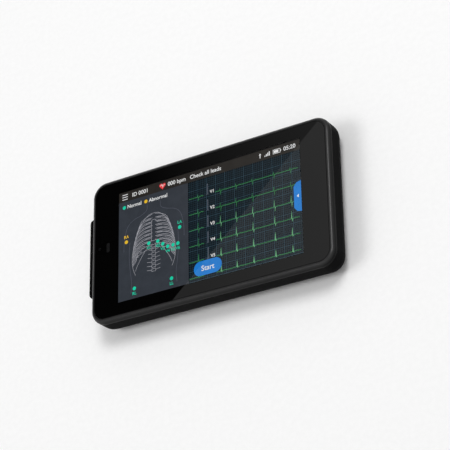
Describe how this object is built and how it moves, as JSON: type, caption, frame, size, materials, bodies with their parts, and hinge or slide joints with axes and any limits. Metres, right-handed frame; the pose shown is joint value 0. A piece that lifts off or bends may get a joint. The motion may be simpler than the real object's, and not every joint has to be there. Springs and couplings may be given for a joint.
{
  "type": "ecg home monitor",
  "caption": "Handheld touch-screen ECG monitor with a glossy glass front, a rounded black housing, side keys and an end block with a multi-way socket for the patient leads.",
  "frame": {"origin": "middle of the flat back face that the monitor lies on, under the middle of the screen", "axes": "+Z out of the screen, X along the length with the lead socket at -X, +Y towards the side with the keys"},
  "size_m": [0.1646, 0.09, 0.019],
  "materials": {
    "cover_glass": "polished, black behind the border",
    "black_print": "printed black",
    "display": "lit display",
    "film": "clear film",
    "front_plastic": "satin black",
    "rear_plastic": "fine matte black",
    "key_plastic": "satin dark grey",
    "black_rubber": "soft",
    "black_plastic": "moulded",
    "circuit_board": "green solder mask",
    "ribbon": "amber film",
    "steel": "plain",
    "black_steel": "blackened",
    "alloy": "cast and tumbled",
    "gilt_contacts": "gilt",
    "battery_wrap": "wrapped foil",
    "white_diffuser": "white",
    "pale_tape": "foam tape"
  },
  "bodies": {
    "monitor": {"cover_glass": "cover_glass", "border_print": "black_print", "touch_film": "film", "glass_adhesive": "black_rubber", "lcd_cell": "display", "backlight": "white_diffuser", "lcd_tray": "steel", "front_housing": "front_plastic", "housing_seal": "black_rubber", "chassis": "alloy", "chassis_screws": "steel", "rear_housing": "rear_plastic", "housing_screws": "black_steel", "earpiece_mesh": "black_steel", "earpiece_receiver": "black_plastic", "front_sensor": "black_plastic", "main_board": "circuit_board", "main_chips": "black_plastic", "main_shield": "steel", "main_screws": "steel", "display_flex": "ribbon", "board_link": "ribbon", "ecg_board": "circuit_board", "ecg_chips": "black_plastic", "ecg_shield": "steel", "ecg_screws": "steel", "battery_pack": "battery_wrap", "battery_pad": "pale_tape", "loudspeaker": "black_plastic", "speaker_mesh": "black_steel", "vibration_motor": "steel", "antenna": "gilt_contacts", "key_board": "circuit_board", "key_switches": "black_plastic", "rocker_pin": "steel", "usb_shell": "steel", "usb_tongue": "black_plastic", "lead_shell": "steel", "lead_insulator": "black_plastic", "lead_contacts": "gilt_contacts", "screw_locks": "steel", "lock_nuts": "steel"},
    "power_key": {"power_button": "key_plastic"},
    "volume_key": {"volume_rocker": "key_plastic"}
  },
  "joints": [
    {"name": "power_press", "type": "slide", "parent": "monitor", "child": "power_key", "axis": [0, -1, 0], "range_m": [0, 0.0004], "stiffness_N_per_m": 100},
    {"name": "volume_rock", "type": "hinge", "parent": "monitor", "child": "volume_key", "pos_m": [-0.03, 0.04035, 0.01075], "axis": [0, 0, 1], "range_deg": [-2, 2], "stiffness_Nm_per_rad": 0.015}
  ]
}
